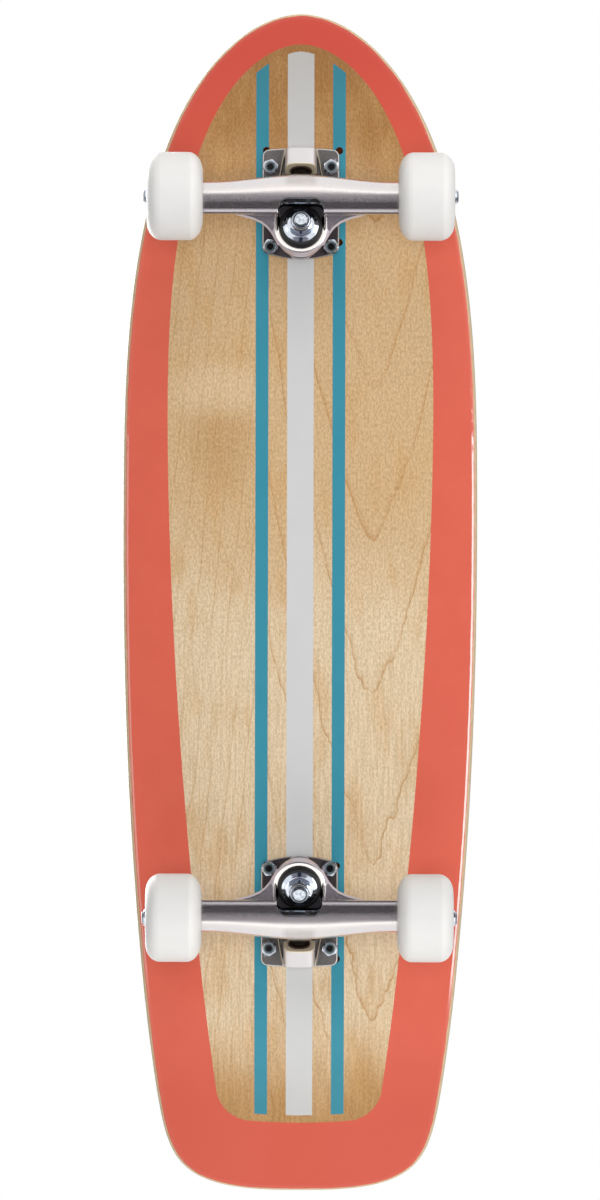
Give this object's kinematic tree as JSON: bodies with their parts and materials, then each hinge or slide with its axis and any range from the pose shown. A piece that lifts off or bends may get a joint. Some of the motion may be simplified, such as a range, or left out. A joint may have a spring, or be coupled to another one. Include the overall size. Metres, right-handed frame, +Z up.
{
  "type": "cruiser skateboard",
  "caption": "Cruiser skateboard: pressed maple deck with a kicktail, striped underside, steerable cast trucks and soft-edged white wheels.",
  "frame": {"origin": "on the ground, under the middle of the deck's length and width", "axes": "+X to the nose, +Y to the rider's left when facing the nose, +Z up"},
  "size_m": [0.8035, 0.241, 0.1301],
  "materials": {
    "clear_maple": "clear glossy lacquer over maple with coral, teal and pale grey paint",
    "grip_tape": "matt mineral grit",
    "rough_cast_aluminium": "rough dark casting",
    "satin_cast_aluminium": "satin casting with polished edges",
    "zinc_steel": "bright zinc plating",
    "bearing_steel": "ground steel with pressed shields",
    "black_steel": "black oxide",
    "black_urethane": "smooth satin urethane",
    "brown_plastic": "moulded nylon",
    "white_urethane": "smooth semi-matt urethane"
  },
  "bodies": {
    "board": {"deck": "clear_maple", "grip_tape": "grip_tape", "front_baseplate": "rough_cast_aluminium", "front_pivot_cup": "brown_plastic", "front_kingpin": "zinc_steel", "front_board_washer": "zinc_steel", "front_board_bushing": "black_urethane", "front_road_bushing": "black_urethane", "front_road_washer": "zinc_steel", "front_kingpin_nut": "zinc_steel", "front_bolt_1": "black_steel", "front_bolt_2": "black_steel", "front_bolt_3": "black_steel", "front_bolt_4": "black_steel", "front_nut_1": "zinc_steel", "front_nut_2": "zinc_steel", "front_nut_3": "zinc_steel", "front_nut_4": "zinc_steel", "rear_baseplate": "rough_cast_aluminium", "rear_pivot_cup": "brown_plastic", "rear_kingpin": "zinc_steel", "rear_board_washer": "zinc_steel", "rear_board_bushing": "black_urethane", "rear_road_bushing": "black_urethane", "rear_road_washer": "zinc_steel", "rear_kingpin_nut": "zinc_steel", "rear_bolt_1": "black_steel", "rear_bolt_2": "black_steel", "rear_bolt_3": "black_steel", "rear_bolt_4": "black_steel", "rear_nut_1": "zinc_steel", "rear_nut_2": "zinc_steel", "rear_nut_3": "zinc_steel", "rear_nut_4": "zinc_steel"},
    "front_left_wheel_set": {"front_left_wheel": "white_urethane", "front_left_inner_bearing": "bearing_steel", "front_left_outer_bearing": "bearing_steel"},
    "front_right_wheel_set": {"front_right_wheel": "white_urethane", "front_right_inner_bearing": "bearing_steel", "front_right_outer_bearing": "bearing_steel"},
    "front_hanger_set": {"front_hanger": "satin_cast_aluminium", "front_axle": "zinc_steel", "front_left_speed_washer": "zinc_steel", "front_left_axle_nut": "zinc_steel", "front_right_speed_washer": "zinc_steel", "front_right_axle_nut": "zinc_steel"},
    "rear_left_wheel_set": {"rear_left_wheel": "white_urethane", "rear_left_inner_bearing": "bearing_steel", "rear_left_outer_bearing": "bearing_steel"},
    "rear_right_wheel_set": {"rear_right_wheel": "white_urethane", "rear_right_inner_bearing": "bearing_steel", "rear_right_outer_bearing": "bearing_steel"},
    "rear_hanger_set": {"rear_hanger": "satin_cast_aluminium", "rear_axle": "zinc_steel", "rear_left_speed_washer": "zinc_steel", "rear_left_axle_nut": "zinc_steel", "rear_right_speed_washer": "zinc_steel", "rear_right_axle_nut": "zinc_steel"}
  },
  "joints": [
    {"name": "front_steer", "type": "hinge", "parent": "board", "child": "front_hanger_set", "pos_m": [0.2964, 0, 0.0715], "axis": [-0.8953, 0, -0.4454], "range_deg": [-12, 12], "stiffness_Nm_per_rad": 30, "deforming": ["front_board_bushing", "front_road_bushing"]},
    {"name": "front_left_wheel_spin", "type": "hinge", "parent": "front_hanger_set", "child": "front_left_wheel_set", "pos_m": [0.2731, 0.0843, 0.0295], "axis": [0, 1, 0], "continuous": true},
    {"name": "front_right_wheel_spin", "type": "hinge", "parent": "front_hanger_set", "child": "front_right_wheel_set", "pos_m": [0.2731, -0.0843, 0.0295], "axis": [0, 1, 0], "continuous": true},
    {"name": "rear_steer", "type": "hinge", "parent": "board", "child": "rear_hanger_set", "pos_m": [-0.2336, 0, 0.0715], "axis": [0.8953, 0, -0.4454], "range_deg": [-12, 12], "stiffness_Nm_per_rad": 30, "deforming": ["rear_board_bushing", "rear_road_bushing"]},
    {"name": "rear_left_wheel_spin", "type": "hinge", "parent": "rear_hanger_set", "child": "rear_left_wheel_set", "pos_m": [-0.2103, 0.0843, 0.0295], "axis": [0, 1, 0], "continuous": true},
    {"name": "rear_right_wheel_spin", "type": "hinge", "parent": "rear_hanger_set", "child": "rear_right_wheel_set", "pos_m": [-0.2103, -0.0843, 0.0295], "axis": [0, 1, 0], "continuous": true}
  ]
}
